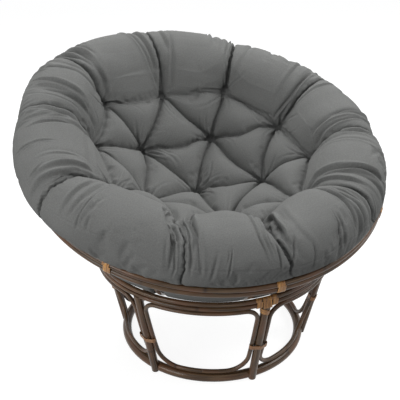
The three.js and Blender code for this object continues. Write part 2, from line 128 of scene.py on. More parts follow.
# Frames of the base, the bowl and the cushion
BASE = Matrix.Translation(BASE_AT)
BOWL = Matrix.Translation((BASE_AT[0], BASE_AT[1], CENTRE_HEIGHT)) @ Matrix.Rotation(BOWL_TILT, 4, "X")
CUSHION = BOWL @ Matrix.Rotation(CUSHION_TURN, 4, "Y")


def place(matrix, points):
    m = np.array(matrix)
    return np.asarray(points) @ m[:3, :3].T + m[:3, 3]


def outward(angle):
    angle = np.asarray(angle, float)
    return np.stack([np.sin(angle), -np.cos(angle), np.zeros_like(angle)], -1)


def spots_at(angle, radius, height):
    """Points by their angle, distance from the middle and height."""
    spots = outward(angle) * np.asarray(radius, float)[..., None]
    spots[..., 2] = height
    return spots


def waves(x, seed, count=5, slowest=1.0):
    """A smooth, irregular line of about unit height over x in turns, which closes on itself after one."""
    rng = np.random.RandomState(seed)
    out = np.zeros_like(np.asarray(x, float))
    for k in range(1, count + 1):
        out += rng.normal() / k * np.sin(TURN * (round(slowest * k) * x + rng.rand()))
    return out / 1.2


def unit(v):
    return v / np.maximum(np.linalg.norm(v, axis=-1, keepdims=True), 1e-12)


# Shader helpers
def new_material(name):
    material = bpy.data.materials.new(name)
    material.use_nodes = True
    tree = material.node_tree
    return material, tree, tree.nodes["Principled BSDF"]


def add(tree, kind, **values):
    node = tree.nodes.new("ShaderNode" + kind)
    for key, value in values.items():
        setattr(node, key, value)
    return node


def link(value, socket):
    """Gives a socket another one's output, or a plain value."""
    if isinstance(value, bpy.types.NodeSocket):
        socket.id_data.links.new(value, socket)
    else:
        socket.default_value = value


def put(node, **values):
    for key, value in values.items():
        link(value, node.inputs[key.replace("_", " ")])
    return node


def noise(tree, vector, scale, detail, stretch=(1, 1, 1)):
    """Noise over a vector that is scaled by stretch."""
    mapping = put(add(tree, "Mapping", vector_type="POINT"), Vector=vector, Scale=stretch)
    node = put(add(tree, "TexNoise"), Vector=mapping.outputs[0], Scale=scale, Detail=detail, Roughness=0.6)
    return node.outputs["Fac"]


def ramp(tree, fac, stops):
    node = put(add(tree, "ValToRGB"), Fac=fac)
    while len(node.color_ramp.elements) < len(stops):
        node.color_ramp.elements.new(0.5)
    for element, (at, colour) in zip(node.color_ramp.elements, stops):
        element.position, element.color = at, (*colour, 1)
    return node.outputs["Color"]


def mixed(tree, fac, a, b, blend="MIX"):
    node = add(tree, "Mix", data_type="RGBA", blend_type=blend)
    for socket, value in ((node.inputs[0], fac), (node.inputs[6], a), (node.inputs[7], b)):
        link(value, socket)
    return node.outputs[2]


def maths(tree, operation, *values):
    node = add(tree, "Math", operation=operation)
    for socket, value in zip(node.inputs, values):
        link(value, socket)
    return node.outputs[0]


def spread(tree, value, low, high):
    return put(add(tree, "MapRange"), Value=value, To_Min=low, To_Max=high).outputs["Result"]


def bump(tree, height, distance, strength, **under):
    node = put(add(tree, "Bump"), Height=height, Distance=distance, Strength=strength, **under)
    return node.outputs["Normal"]


def attribute(tree, name, output="Vector"):
    return add(tree, "Attribute", attribute_name=name).outputs[output]


# Materials: colours by place on a ramp, and noises by their scale in turns per metre
CANE_COLOURS = ((0.3, (0.022, 0.012, 0.006)), (0.5, (0.078, 0.044, 0.022)), (0.72, (0.205, 0.128, 0.066)))
CANE_WORN = (0.20, 0.080, 0.038, 1)
CANE_KNUCKLE = (0.016, 0.010, 0.008, 1)
CANE_STREAKS = dict(scale=420, detail=4, stretch=(1, 1, 0.02))
CANE_PATCHES = dict(scale=26, detail=3, stretch=(1, 1, 0.35))
SPLIT_COLOURS = ((0.3, (0.22, 0.080, 0.016)), (0.55, (0.62, 0.30, 0.065)), (0.8, (0.80, 0.47, 0.15)))
SPLIT_STAIN = (0.14, 0.050, 0.022, 1)
SPLIT_FIBRES = dict(scale=900, detail=3, stretch=(1, 1, 0.02))
SPLIT_PATCHES = dict(scale=60, detail=2, stretch=(1, 1, 0.3))
CLOTH_COLOURS = ((0.3, (0.152, 0.154, 0.149)), (0.7, (0.206, 0.208, 0.202)))
CLOTH_TINTS = ((0.35, (0.94, 0.94, 0.94)), (0.65, (1.0, 1.0, 1.0)))
CLOTH_SLUBS = dict(scale=260, detail=3)
CLOTH_DYE = dict(scale=9, detail=3)
THREADS = 1000  # to the metre
BLACK, WHITE = (0, 0, 0), (1, 1, 1)


def stained_cane():
    """Dark brown stain over a smooth skin: fine streaks, worn redder places and dark knuckles."""
    material, tree, shader = new_material("stained_cane")
    grain = attribute(tree, "grain")
    knuckle = attribute(tree, "knuckle", "Fac")
    streaks = noise(tree, grain, **CANE_STREAKS)
    patches = noise(tree, grain, **CANE_PATCHES)
    colour = ramp(tree, streaks, CANE_COLOURS)
    worn = ramp(tree, patches, [(0.45, BLACK), (0.7, WHITE)])
    colour = mixed(tree, worn, colour, mixed(tree, 0.5, colour, CANE_WORN))
    colour = mixed(tree, knuckle, colour, CANE_KNUCKLE)
    normal = bump(tree, patches, 0.0012, 0.4, Normal=bump(tree, streaks, 0.0004, 0.5))
    put(shader, Base_Color=colour, Roughness=spread(tree, patches, 0.28, 0.5), Normal=normal)
    put(shader, Coat_Weight=0.3, Coat_Roughness=0.14, Specular_IOR_Level=0.14)
    return material


def split_cane(name, stained):
    """Golden brown strands, darker between their fibres, with some or much of the frame's stain."""
    material, tree, shader = new_material(name)
    grain = attribute(tree, "grain")
    fibres = noise(tree, grain, **SPLIT_FIBRES)
    patches = noise(tree, grain, **SPLIT_PATCHES)
    colour = ramp(tree, fibres, SPLIT_COLOURS)
    stain = ramp(tree, patches, [(stained, WHITE), (stained + 0.27, BLACK)])
    colour = mixed(tree, stain, colour, mixed(tree, 0.7, colour, SPLIT_STAIN))
    put(shader, Base_Color=colour, Roughness=0.42, Normal=bump(tree, fibres, 0.0003, 0.6))
    put(shader, Coat_Weight=0.2, Coat_Roughness=0.3)
    return material


def grey_cloth():
    """Plain matt woven cloth: threads a millimetre apart over the cut panel, a little fuzz and uneven dye."""
    material, tree, shader = new_material("grey_cloth")
    plan = attribute(tree, "plan")
    split = put(add(tree, "SeparateXYZ"), Vector=plan)
    waves_along = [maths(tree, "MULTIPLY", split.outputs[axis], TURN * THREADS) for axis in ("X", "Y")]
    weave = maths(tree, "MULTIPLY", *(maths(tree, "SINE", wave) for wave in waves_along))
    slubs = noise(tree, plan, **CLOTH_SLUBS)
    tint = ramp(tree, noise(tree, plan, **CLOTH_DYE), CLOTH_TINTS)
    colour = mixed(tree, 1.0, ramp(tree, slubs, CLOTH_COLOURS), tint, "MULTIPLY")
    normal = bump(tree, slubs, 0.0003, 0.4, Normal=bump(tree, weave, 0.00018, 0.5))
    put(shader, Base_Color=colour, Roughness=0.95, Normal=normal)
    put(shader, Specular_IOR_Level=0.06, Sheen_Weight=0.04, Sheen_Roughness=0.5)
    return material


CANE = stained_cane()
SPLIT = split_cane("split_cane", 0.35)
STAINED_SPLIT = split_cane("stained_split_cane", 0.6)
CLOTH = grey_cloth()


# Meshes
def new_object(name, data):
    thing = bpy.data.objects.new(name, data)
    bpy.context.scene.collection.objects.link(thing)
    return thing


def mesh_object(name, points, faces, material, **attributes):
    """A smooth mesh, with a number or a vector for each point by the name of the attribute."""
    mesh = bpy.data.meshes.new(name)
    mesh.from_pydata(np.asarray(points).tolist(), [], faces)
    mesh.validate()
    mesh.shade_smooth()
    for label, values in attributes.items():
        kind, field = ("FLOAT", "value") if values.ndim == 1 else ("FLOAT_VECTOR", "vector")
        mesh.attributes.new(label, kind, "POINT").data.foreach_set(field, values.ravel())
    mesh.materials.append(material)
    return new_object(name, mesh)


def finished(piece, body, node):
    """Gives a piece its body, and hides the CAD node that it stands for."""
    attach(piece, body)
    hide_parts(node)


def tube_faces(rows, sides):
    """Quads of a tube with that many rows of points along it, and its two ends."""
    i, k = np.meshgrid(np.arange(rows - 1), np.arange(sides), indexing="ij")
    after = (k + 1) % sides
    quads = np.stack([i * sides + k, i * sides + after, (i + 1) * sides + after, (i + 1) * sides + k], -1)
    ends = [list(range(sides))[::-1], list(range((rows - 1) * sides, rows * sides))]
    return quads.reshape(-1, 4).tolist() + ends


def merged(parts):
    """Points and faces of several meshes as one."""
    points, faces, first = [], [], 0
    for p, f in parts:
        points.append(p)
        faces += [[v + first for v in face] for face in f]
        first += len(p)
    return np.concatenate(points), faces


def circle(sides):
    turn = TURN * np.arange(sides) / sides
    return np.stack([np.cos(turn), np.sin(turn)], -1)


def tube(path, out, radii, sides):
    """Points and faces of a round tube along a path. Its first point in each row lies towards out."""
    tangent = unit(np.gradient(path, axis=0))
    first = unit(out - tangent * np.sum(out * tangent, -1, keepdims=True))[:, None]
    second = np.cross(tangent, first[:, 0])[:, None]
    across = circle(sides)
    points = path[:, None] + radii[:, None, None] * (across[:, :1] * first + across[:, 1:] * second)
    return points.reshape(-1, 3), tube_faces(len(path), sides)


def along(path):
    steps = np.linalg.norm(np.diff(path, axis=0), axis=1)
    return np.concatenate([[0], np.cumsum(steps)])


def knuckles(s, seed):
    """How high and how dark a cane's knuckles are at each place along it, in shares of the most."""
    rng = np.random.RandomState(seed)
    ridge, dark = np.zeros_like(s), np.zeros_like(s)
    at = rng.uniform(*FIRST_KNUCKLE)
    while at < s[-1] - KNUCKLE_FREE:
        ridge += np.exp(-((s - at) / 0.006) ** 2) - 0.7 * np.exp(-((s - at - 0.007) / 0.003) ** 2)
        dark += 0.8 * np.exp(-((s - at - 0.006) / 0.0022) ** 2)
        at += rng.uniform(*KNUCKLE_STEPS)
    return ridge, dark


def cane_pole(name, body, path, out, radius, seed, sides, reshape=None):
    """A round cane along a path, with low knuckles and a slightly uneven radius."""
    s = along(path)
    ridge, dark = knuckles(s, seed)
    uneven = (1 + waves(s / s[-1], seed, 7)) / 2
    radii = radius * SLIM * (1 + KNUCKLE_RISE * ridge - UNEVEN * uneven)
    points, faces = tube(path, out, radii, sides)
    if reshape is not None:
        points = reshape(points)
    flat = np.tile(circle(sides) * radius, (len(path), 1))
    grain = np.column_stack([flat, np.repeat(s, sides) + GRAIN_STEP * (seed % 97)])
    piece = mesh_object(name, points, faces, CANE, grain=grain, knuckle=np.repeat(dark, sides))
    finished(piece, body, name)


def ring(name, body, matrix, radius, height, pole, seed, start, step=0.008, sides=20, wander=0):
    """A pole bent into a ring, whose two ends butt together at the start, in degrees."""
    count = int(TURN * radius / step)
    share = np.linspace(0, 1, count + 1)
    trim = RING_TRIM / radius
    angle = math.radians(start) + trim + (TURN - 2 * trim) * share
    path = spots_at(angle, radius + wander * waves(share, seed + 50, 4, 2), height)
    out = outward(angle) @ np.array(matrix)[:3, :3].T
    cane_pole(name, body, place(matrix, path), out, pole, seed, sides)


# Base
def post_angle(i):
    return FIRST_POST + TURN * i / POST_COUNT


def post_line(i, share):
    foot = spots_at(post_angle(i), FOOT_RADIUS + POST_SET_OUT, POST_FOOT)
    head = spots_at(post_angle(i), SEAT_RADIUS, SEAT_LOW)
    return foot + (head - foot) * np.asarray(share, float)[..., None]


def fit_to_rings(points):
    """A post's foot lies on the foot ring's outer face, and its head is notched round the lower seat pole."""
    local = points - np.array(BASE_AT)
    radial = np.hypot(local[:, 0], local[:, 1])
    height = local[:, 2]
    clear = FOOT_POLE + GAP
    inside = np.maximum(clear ** 2 - (height - FOOT_POLE) ** 2, 0)
    near_foot = height < 2 * FOOT_POLE
    pushed = np.where(near_foot, np.maximum(radial, FOOT_RADIUS + np.sqrt(inside)), radial)
    local[:, :2] *= (pushed / radial)[:, None]
    clear = SEAT_POLE + GAP
    inside = np.maximum(clear ** 2 - (pushed - SEAT_RADIUS) ** 2, 0)
    notch = SEAT_LOW - np.sqrt(inside)
    at_head = (inside > 0) & (height > SEAT_LOW - NOTCH_REACH)
    local[:, 2] = np.where(at_head, np.minimum(height, notch), height)
    return local + np.array(BASE_AT)


def post(i):
    """A post, with finer steps at its foot and head, which are fitted to the rings."""
    steps = [np.linspace(0, 0.13, 28), np.linspace(0.13, 0.94, 90)[1:], np.linspace(0.94, 1, 20)[1:]]
    path = place(BASE, post_line(i, np.concatenate(steps)))
    out = outward(post_angle(i))
    cane_pole(f"base_post_{i + 1}", "base", path, out, POST, 300 + i, 32, fit_to_rings)


def beside_post(height):
    share = (height - POST_FOOT) / (SEAT_LOW - POST_FOOT)
    return FOOT_RADIUS + POST_SET_OUT + (SEAT_RADIUS - FOOT_RADIUS - POST_SET_OUT) * share


def window_radius(height):
    """Over the foot ring below, beside the posts halfway up and under the seat ring above."""
    share = np.clip((height - WINDOW_LOW) / (WINDOW_HIGH - WINDOW_LOW), 0, 1)
    set_in = (beside_post(WINDOW_LOW) - FOOT_RADIUS) * (1 - share) ** 3
    set_out = (SEAT_RADIUS - beside_post(WINDOW_HIGH)) * share ** 3
    return beside_post(height) - set_in + set_out


def window_outline():
    """One side of a window as (height, distance in from the post's side), from the bottom to the top."""
    turn = np.linspace(0, np.pi / 2, 16)
    rising, falling = 1 - np.cos(turn), 1 - np.sin(turn)
    foot = np.stack([WINDOW_LOW + WINDOW_FOOT_CORNER * rising, WINDOW_FOOT_CORNER * falling], -1)
    top = np.stack([WINDOW_HIGH - WINDOW_TOP_CORNER * falling, WINDOW_TOP_CORNER * rising], -1)
    rise = np.linspace(foot[-1, 0], top[0, 0], 24)[1:-1]
    return np.concatenate([foot, np.stack([rise, 0 * rise], -1), top])


def window_cane(i):
    """One closed bend from the middle of the window's foot up one side, over the top and down the other."""
    middle = post_angle(i) + math.pi / POST_COUNT
    height, inset = window_outline().T
    radius = window_radius(height)
    beside = np.arcsin((POST + GAP + WINDOW) / radius)
    half_width = radius * (math.pi / POST_COUNT) - POST - GAP - WINDOW
    half = (math.pi / POST_COUNT - beside) * (1 - inset / half_width)
    run = np.linspace(0, 1, 26)
    low, high = half[0] * run[:-1], half[-1] * (1 - 2 * run[1:-1])
    angle = middle + np.concatenate([low, half, high, -half[::-1], -low[::-1]])
    foot, top = np.full(len(low), WINDOW_LOW), np.full(len(high), WINDOW_HIGH)
    level = np.concatenate([foot, height, top, height[::-1], foot])
    path = place(BASE, spots_at(angle, window_radius(level), level))
    cane_pole(f"base_window_cane_{i + 1}", "base", path, outward(angle), WINDOW, 400 + i, 16)


# Split cane windings
STRAND_SECTION = np.array([  # in shares of a strand's width and thickness
    (-0.5, 0), (-0.47, 0.6), (-0.3, 0.95), (0, 1.0), (0.3, 0.95), (0.47, 0.6), (0.5, 0), (0, -0.02)])
STRAND_PITCH = 0.0056  # from turn to turn
STRAND_SHARE = 0.86  # of the pitch that a strand covers
STRAND_STRAY = 0.00012
HULL_STEP = 0.003
HEAD_HALF = 0.0125  # half the width of the strands over a post's head
HEAD_HANG = 0.010  # how far they hang below the seat ring's poles
HEAD_STRANDS = 6
HEAD_STRAND_WIDTH = 0.0039
HEAD_TOP = 0.012  # how far under the middle of the lower seat pole a post's own turns begin
HEAD_CORNER = 0.0008


def hull_path(circles, steps=44):
    """The taut line round circles (x, y, radius), as points with their outward directions."""
    normal = circle(steps)
    circles = np.array(circles)
    held = circles[np.argmax(normal @ circles[:, :2].T + circles[:, 2], 1)]
    points = held[:, :2] + normal * held[:, 2:]
    filled, directions = [], []
    for k in range(steps):
        j = (k + 1) % steps
        extra = max(1, int(np.linalg.norm(points[j] - points[k]) / HULL_STEP))
        for e in range(extra):
            filled.append(points[k] + (points[j] - points[k]) * e / extra)
            directions.append(normal[k] + (normal[j] - normal[k]) * e / extra)
    return np.array(filled), unit(np.array(directions))


def strand(spots, outline, direction, width, seed):
    """A flat strand with rounded edges: points, faces and grain. It follows an outline, with its outward
    directions, across the spots (origin, x, y, along) of a spine."""
    origin, x, y, forward = spots
    path = origin + x * outline[:, :1] + y * outline[:, 1:]
    normal = x * direction[:, :1] + y * direction[:, 1:]
    section = STRAND_SECTION
    s = along(path)
    thick = STRAND * (0.9 + 0.1 * waves(s / s[-1], seed, 9))
    points = (path[:, None] + section[None, :, :1] * width * forward[:, None]
              + section[None, :, 1:] * thick[:, None, None] * normal[:, None])
    flat = np.tile(section * [width, STRAND], (len(path), 1))
    grain = np.column_stack([flat, np.repeat(s, len(section)) + seed * 1.3])
    return points.reshape(-1, 3), tube_faces(len(path), len(section)), grain


def winding(name, body, strands, material):
    """Several strands as one piece."""
    points, faces = merged([(p, f) for p, f, _ in strands])
    grain = np.concatenate([g for _, _, g in strands])
    finished(mesh_object(name, points, faces, material, grain=grain), body, name)


def helix(circles, spine, length, seed):
    """A strand wound round circles along a spine, which gives its spots by their way from its middle."""
    rng = np.random.RandomState(seed)
    outline, direction = hull_path(circles)
    turns = max(1, round(length / STRAND_PITCH))
    step = length / turns
    n = len(outline)
    index = np.arange(turns * n + 1) % n
    turn = np.arange(turns * n + 1) / n
    stray = np.interp(turn, np.arange(turns + 1), rng.normal(0, STRAND_STRAY, turns + 1))
    at = -length / 2 + step / 2 + (turn / turns) * (length - step) + stray
    return strand(spine(at), outline[index], direction[index], step * STRAND_SHARE, seed)


def ring_spine(matrix, radius, height, angle):
    """A spine along a level ring, x outward and y up."""
    rotation = np.array(matrix)[:3, :3]

    def spine(at):
        turn = angle + np.asarray(at) / radius
        out = outward(turn)
        up = np.broadcast_to([0.0, 0.0, 1.0], out.shape)
        forward = np.stack([np.cos(turn), np.sin(turn), 0 * turn], -1)
        origin = place(matrix, spots_at(turn, radius, height))
        return origin, out @ rotation.T, up @ rotation.T, forward @ rotation.T
    return spine


def post_spine(i, share):
    """A spine up a post, x outward and y sideways."""
    ends = place(BASE, post_line(i, [0, 1]))
    axis = unit(ends[1] - ends[0])
    out = outward(post_angle(i))
    out = unit(out - axis * (out @ axis))
    middle = ends[0] + (ends[1] - ends[0]) * share

    def spine(at):
        at = np.asarray(at)[:, None]
        full = np.ones_like(at)
        return middle + axis * at, out * full, np.cross(axis, out) * full, axis * full
    return spine


def rim_wrap(k):
    angle = TURN * RIM_WRAP_SHARES[k]
    r = RIM_POLE + WRAP_GAP
    circles = [(0, RIM_OFFSET, r), (0, -RIM_OFFSET, r)]
    turns = helix(circles, ring_spine(BOWL, RIM_RADIUS, -RIM_DROP, angle), RIM_WRAP_LENGTH, 500 + k)
    winding(f"rim_wrap_{k + 1}", "bowl", [turns], SPLIT)


def side_wrap(i):
    step, r = POST + GAP + WINDOW, WINDOW + SIDE_WRAP_GAP
    circles = [(0, 0, POST + SIDE_WRAP_GAP), (0, step, r), (0, -step, r)]
    turns = helix(circles, post_spine(i, SIDE_WRAP_SHARE), SIDE_WRAP_LENGTH, 600 + i)
    winding(f"base_side_wrap_{i + 1}", "base", [turns], STAINED_SPLIT)


def clear_of_bowl(points):
    """Strands in the seat ring's cup are pressed flat, clear of the bowl's sphere at any tilt."""
    centre = np.array(BOWL.translation)
    away = points - centre
    distance = np.linalg.norm(away, axis=1, keepdims=True)
    return centre + away * np.maximum(distance, BOWL_RADIUS + 0.0004) / distance


def head_strands(spine, half, r, seed):
    """Strands that lie over both seat poles and down both sides of a post's head."""
    hang = -half - HEAD_HANG
    corners = [(POST, hang, HEAD_CORNER), (-POST, hang, HEAD_CORNER)]
    outline, direction = hull_path([(0, half, r), (0, -half, r)] + corners, 60)
    open_at = np.argmin(outline[:, 1] + 1e3 * (outline[:, 0] < 0))
    outline, direction = np.roll(outline, -open_at, 0), np.roll(direction, -open_at, 0)
    kept = outline[:, 1] > hang + 0.0002
    outline, direction = outline[kept], direction[kept]
    strands = []
    for k in range(HEAD_STRANDS):
        aside = HEAD_HALF * (2 * ((k + 0.5) / HEAD_STRANDS) - 1)
        spots = spine(np.full(len(outline), aside))
        strands.append(strand(spots, outline, direction, HEAD_STRAND_WIDTH, seed + k))
    return strands


def head_wrap(i):
    """Turns round both seat poles beside the post, strands over its head, and turns round the post."""
    angle = post_angle(i)
    middle, half = (SEAT_TOP + SEAT_LOW) / 2, (SEAT_TOP - SEAT_LOW) / 2
    r = SEAT_POLE + WRAP_GAP
    flank = RING_WRAP_LENGTH / 2 - HEAD_HALF
    strands = []
    for side in (-1, 1):
        centre = angle + side * (HEAD_HALF + flank / 2) / SEAT_RADIUS
        spine = ring_spine(BASE, SEAT_RADIUS, middle, centre)
        strands.append(helix([(0, half, r), (0, -half, r)], spine, flank, 700 + 10 * i + side))
    strands += head_strands(ring_spine(BASE, SEAT_RADIUS, middle, angle), half, r, 760 + 10 * i)
    length = float(np.linalg.norm(np.diff(post_line(i, [0, 1]), axis=0)))
    bottom = SEAT_POLE + POST_WRAP_LENGTH
    spine = post_spine(i, 1 - (HEAD_TOP + bottom) / 2 / length)
    strands.append(helix([(0, 0, POST + WRAP_GAP)], spine, bottom - HEAD_TOP, 790 + i))
    strands = [(clear_of_bowl(p), f, g) for p, f, g in strands]
    winding(f"base_head_wrap_{i + 1}", "base", strands, SPLIT)


def base():
    ring("base_foot_ring", "base", BASE, FOOT_RADIUS, FOOT_POLE, FOOT_POLE, 11, 150, sides=32, wander=0.0005)
    ring("base_seat_ring_upper", "base", BASE, SEAT_RADIUS, SEAT_TOP, SEAT_POLE, 12, 160)
    ring("base_seat_ring_lower", "base", BASE, SEAT_RADIUS, SEAT_LOW, SEAT_POLE, 13, 205)
    for i in range(POST_COUNT):
        post(i)
        window_cane(i)
        side_wrap(i)
    for i in range(0, POST_COUNT, HEAD_WRAP_EVERY):
        head_wrap(i)


# Bowl
def rib(i):
    """A rib on the bowl's sphere, from the hub ring up to the lower rim pole, which it is notched round."""
    angle = TURN * i / RIB_COUNT
    start = math.asin((HUB_RADIUS + RIB + GAP) / RIB_CIRCLE)
    end = math.atan2(RIM_RADIUS, RIM_DROP + RIM_OFFSET)
    polar = np.linspace(start, end, 84)
    out = spots_at(angle, np.sin(polar), -np.cos(polar))
    rotation = np.array(BOWL)[:3, :3]
    centre = place(BOWL, spots_at(angle, RIM_RADIUS, -RIM_DROP - RIM_OFFSET))
    side = np.cross(outward(angle), [0.0, 0.0, 1.0]) @ rotation.T
    towards = unit(np.diff(place(BOWL, out[-2:] * RIB_CIRCLE), axis=0)[0])

    def notch(points):
        away = points - centre
        away = away - np.outer(away @ side, side)
        forward = away @ towards
        across = np.sqrt(np.maximum(np.sum(away * away, 1) - forward ** 2, 0))
        clear = RIM_POLE + GAP
        limit = -np.sqrt(np.maximum(clear ** 2 - across ** 2, 0))
        over = np.maximum(forward - limit, 0) * (forward > -NOTCH_REACH)
        return points - np.outer(over, towards)

    path = place(BOWL, out * RIB_CIRCLE)
    cane_pole(f"bowl_rib_{i + 1}", "bowl", path, out @ rotation.T, RIB, 200 + i, 16, notch)


def bowl():
    hub_height = -math.sqrt(RIB_CIRCLE ** 2 - HUB_RADIUS ** 2)
    ring("rim_pole_upper", "bowl", BOWL, RIM_RADIUS, RIM_OFFSET - RIM_DROP, RIM_POLE, 21, 172)
    ring("rim_pole_lower", "bowl", BOWL, RIM_RADIUS, -RIM_OFFSET - RIM_DROP, RIM_POLE, 22, 214)
    ring("bowl_hub_ring", "bowl", BOWL, HUB_RADIUS, hub_height, RIB, 24, 20, step=0.006, sides=18)
    for i in range(RIB_COUNT):
        rib(i)
    for k in range(len(RIM_WRAP_SHARES)):
        rim_wrap(k)


# Cushion: its form without tufts, in its own frame, as a table over the angle and the share of the way out
ANGLES = 720
ROWS = 220
CELLS = 140  # of the cloth's grid, each way across the top, while its filling swells it
DOUBLINGS = 2  # of those cells afterwards
CREASE_REACH = (0, 0.09, 0.13, 0.165, 0.21, 0.245, 0.30, 0.37)  # out from the outer tufts
CREASE_DEPTH = (0.004, 0.030, 0.047, 0.046, 0.032, 0.022, 0.014, 0.005)  # of a strong crease there
WALL_REACH = (0, 0.04, 0.09, 0.13, 0.165, 0.20)  # out from the outer tufts
WALL_FILL = (0.026, 0.034, 0.034, 0.018, 0.005, 0)  # how far the cloth bulges there
RIM_SEAT = (RIM_RADIUS - 0.002, 0.0235)  # where top and underside meet: radius, height over the rim's plane
TOP_LINK = (RIM_RADIUS + 0.011, 0.027)  # and the points before it, on the top and on the underside
UNDER_LINK = (RIM_RADIUS - 0.011, 0.0205)
UNDER_END = 0.008  # how far over the rim's plane the underside leaves the bowl's sphere
BEND = 0.010  # how far a crease strays between its tufts
LEAN_REACH = (0.05, 0.15, 0.22, 0.31)  # out from the outer tufts
LEANS = {9: (0, 0.005, 0.05, 0.08), 0: (0, -0.036, -0.046, -0.005)}  # how far the front creases stray there
LEAN_WIDTH = 0.28  # in radians
BELLY = 0.0166  # how far the underside hangs between the ribs
BELLY_AWAY = (0.0085, 0.010)  # from a rib's axis to where it starts, and how far it takes to hang
BELLY_LOW = (math.radians(12), 0.1)  # the same, by the angle up from the bottom of the bowl
BELLY_HIGH = (math.radians(66), 0.08)
TIE_DEPTH = 0.009  # of the underside where a tie comes out
TIE_REACH = 0.022
FAR = 9.0  # a distance beyond any on the cushion


def dish_height(radius):
    return THICKNESS - CUSHION_SPHERE + TUFT_RISE * (radius / TUFT_CIRCLE) ** 2


def eased(x):
    x = np.clip(x, 0, 1)
    return x * x * (3 - 2 * x)


def roll_set_out(angle):
    """How far out of its circle the roll lies at an angle."""
    turn = (math.degrees(angle) - OUTER_TURNS[0]) % 360
    turns = [(t - OUTER_TURNS[0]) % 360 for t in OUTER_TURNS] + [360]
    k = max(i for i in range(len(OUTER_TURNS)) if turns[i] <= turn + 1e-9)
    t = float(eased((turn - turns[k]) / (turns[k + 1] - turns[k])))
    return ROLL_SET_OUTS[k] * (1 - t) + ROLL_SET_OUTS[(k + 1) % len(ROLL_SET_OUTS)] * t


def smooth_rows(table, reach):
    """Rounds the kinks of each profile over that many rows, with its ends held."""
    kernel = np.hanning(2 * reach + 1)
    kernel /= kernel.sum()
    before = 2 * table[:, :1] - table[:, reach:0:-1]
    after = 2 * table[:, -1:] - table[:, -2:-reach - 2:-1]
    padded = np.concatenate([before, table, after], 1)
    smooth = [np.apply_along_axis(np.convolve, 1, padded[..., k], kernel, "valid") for k in range(3)]
    return np.stack(smooth, -1)


def even_rows(profile):
    """A profile at evenly spaced places along its length, and that length."""
    s = along(profile)
    at = np.linspace(0, s[-1], ROWS)
    return np.stack([np.interp(at, s, profile[:, k]) for k in range(3)], -1), s[-1]


def from_bowl(angle, spots):
    """Points (radius, height over the rim's plane) of the bowl's frame, in the cushion's frame."""
    radius, height = np.transpose(spots)
    return place(Matrix.Rotation(-CUSHION_TURN, 4, "Y"), spots_at(angle, radius, height - RIM_DROP))


def top_profile(angle):
    """The dish out to the tufts, round the roll and down to the rim."""
    hang = -ROLL_HANG * (1 - math.sin(angle)) / 2
    turn = TURN * np.linspace(ROLL_END, hang, 90)
    dish = np.linspace(0, TUFT_CIRCLE, 90)
    radius = np.concatenate([dish, ROLL_CIRCLE + roll_set_out(angle) + ROLL * np.cos(turn)])
    height = np.concatenate([dish_height(dish), ROLL_HEIGHT - RIM_DROP + ROLL * np.sin(turn)])
    return np.concatenate([spots_at(angle, radius, height), from_bowl(angle, [TOP_LINK, RIM_SEAT])])


def under_profile(angle):
    """Over the hub and the ribs, hanging a little between two ribs."""
    polar = np.linspace(0, math.acos((RIM_DROP - UNDER_END) / UNDERSIDE), 140)
    from_rib = np.abs((angle + math.pi / RIB_COUNT) % (TURN / RIB_COUNT) - math.pi / RIB_COUNT)
    aside = UNDERSIDE * np.sin(polar) * from_rib
    between = eased((aside - BELLY_AWAY[0]) / BELLY_AWAY[1])
    low = eased((polar - BELLY_LOW[0]) / BELLY_LOW[1])
    high = eased((BELLY_HIGH[0] - polar) / BELLY_HIGH[1])
    reach = UNDERSIDE + BELLY * (between * low * high)
    sphere = np.stack([reach * np.sin(polar), RIM_DROP - reach * np.cos(polar)], -1)
    return from_bowl(angle, np.concatenate([sphere, [UNDER_LINK, RIM_SEAT]]))


def form_table(profile, reach):
    angles = TURN * np.arange(ANGLES) / ANGLES
    rows, lengths = zip(*(even_rows(profile(a)) for a in angles))
    table = smooth_rows(np.stack(rows), reach)
    return np.concatenate([table, table[:1]]), np.concatenate([lengths, lengths[:1]])


def read_table(table, angle, share):
    """Values of a table at angles and shares, between its entries."""
    a = (angle / TURN % 1) * ANGLES
    i = np.minimum(a.astype(int), ANGLES - 1)
    fa = a - i
    if table.ndim == 1:
        return table[i] * (1 - fa) + table[i + 1] * fa
    r = np.clip(share, 0, 1) * (ROWS - 1)
    j = np.minimum(r.astype(int), ROWS - 2)
    fr = (r - j)[:, None]
    fa = fa[:, None]
    low = table[i, j] * (1 - fr) + table[i, j + 1] * fr
    high = table[i + 1, j] * (1 - fr) + table[i + 1, j + 1] * fr
    return low * (1 - fa) + high * fa


def disc_grid(cells):
    """A square grid bent to a disc: angle and share of the way out for each point, row by row."""
    side = np.linspace(-1, 1, cells + 1)
    a, b = (v.ravel() for v in np.meshgrid(side, side, indexing="ij"))
    u, v = a * np.sqrt(1 - b * b / 2), b * np.sqrt(1 - a * a / 2)
    return np.arctan2(u, -v), np.minimum(np.hypot(u, v), 1)


def grid_quads(cells):
    """Faces of the grid, which point up."""
    i, j = (v.ravel() for v in np.meshgrid(np.arange(cells), np.arange(cells), indexing="ij"))
    n = cells + 1
    return np.stack([i * n + j, (i + 1) * n + j, (i + 1) * n + j + 1, i * n + j + 1], -1)


# Cushion: tufts and creases in the plan, where a point's distance from the middle is measured along the cloth
def cross(a, b):
    return a[..., 0] * b[..., 1] - a[..., 1] * b[..., 0]


def tuft_plan():
    reach = np.linspace(0, 1.2 * TUFT_CIRCLE, 400)
    length = along(np.stack([reach, dish_height(reach)], -1))
    return outward(TUFT_ANGLES)[:, :2] * np.interp(TUFT_RADII, reach, length)[:, None]


def tuft_triangles():
    inner, outer = 1, 1 + INNER_TUFTS
    found = []
    for k in range(INNER_TUFTS):
        a, b = inner + k, inner + (k + 1) % INNER_TUFTS
        at, after, before = (outer + (2 * k + d) % OUTER_TUFTS for d in (0, 1, -1))
        found += [(0, a, b), (a, b, after), (a, at, after), (a, before, at)]
    return found


